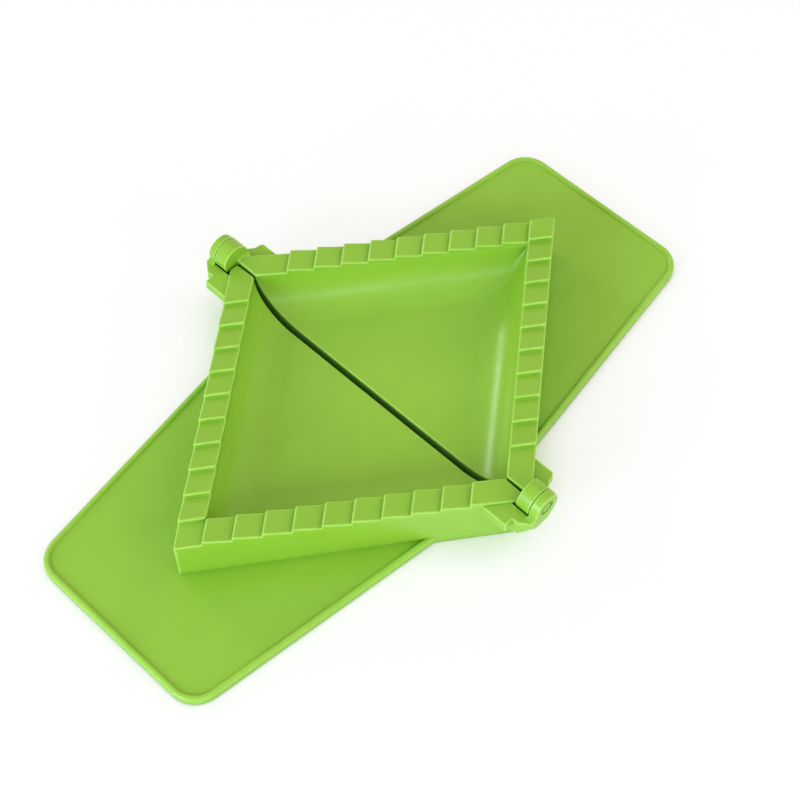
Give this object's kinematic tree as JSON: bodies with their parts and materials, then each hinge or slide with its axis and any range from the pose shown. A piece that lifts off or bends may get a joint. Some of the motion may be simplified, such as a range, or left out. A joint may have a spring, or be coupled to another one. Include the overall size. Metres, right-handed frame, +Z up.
{
  "type": "empanada press",
  "caption": "Folding pastry press in plastic: mirrored triangular cups with stepped crimping rims and tapered handle plates, joined by a pinned hinge and shown open flat.",
  "frame": {"origin": "on the table under the middle of the hinge line, press opened flat", "axes": "+X along the hinge line, +Y from the hinge over the back half, +Z up; the front half lies towards -Y"},
  "size_m": [0.1306, 0.2076, 0.0237],
  "materials": {
    "moulded_lime": "satin-gloss moulded polypropylene, lime green",
    "pin_lime": "satin moulded plastic, lime green"
  },
  "bodies": {
    "front": {"front_half": "moulded_lime", "hinge_pin_left": "pin_lime", "hinge_pin_right": "pin_lime"},
    "back": {"back_half": "moulded_lime"}
  },
  "joints": [
    {"name": "fold_hinge", "type": "hinge", "parent": "front", "child": "back", "pos_m": [0, 0, 0.019], "axis": [1, 0, 0], "range_deg": [0, 180]}
  ]
}
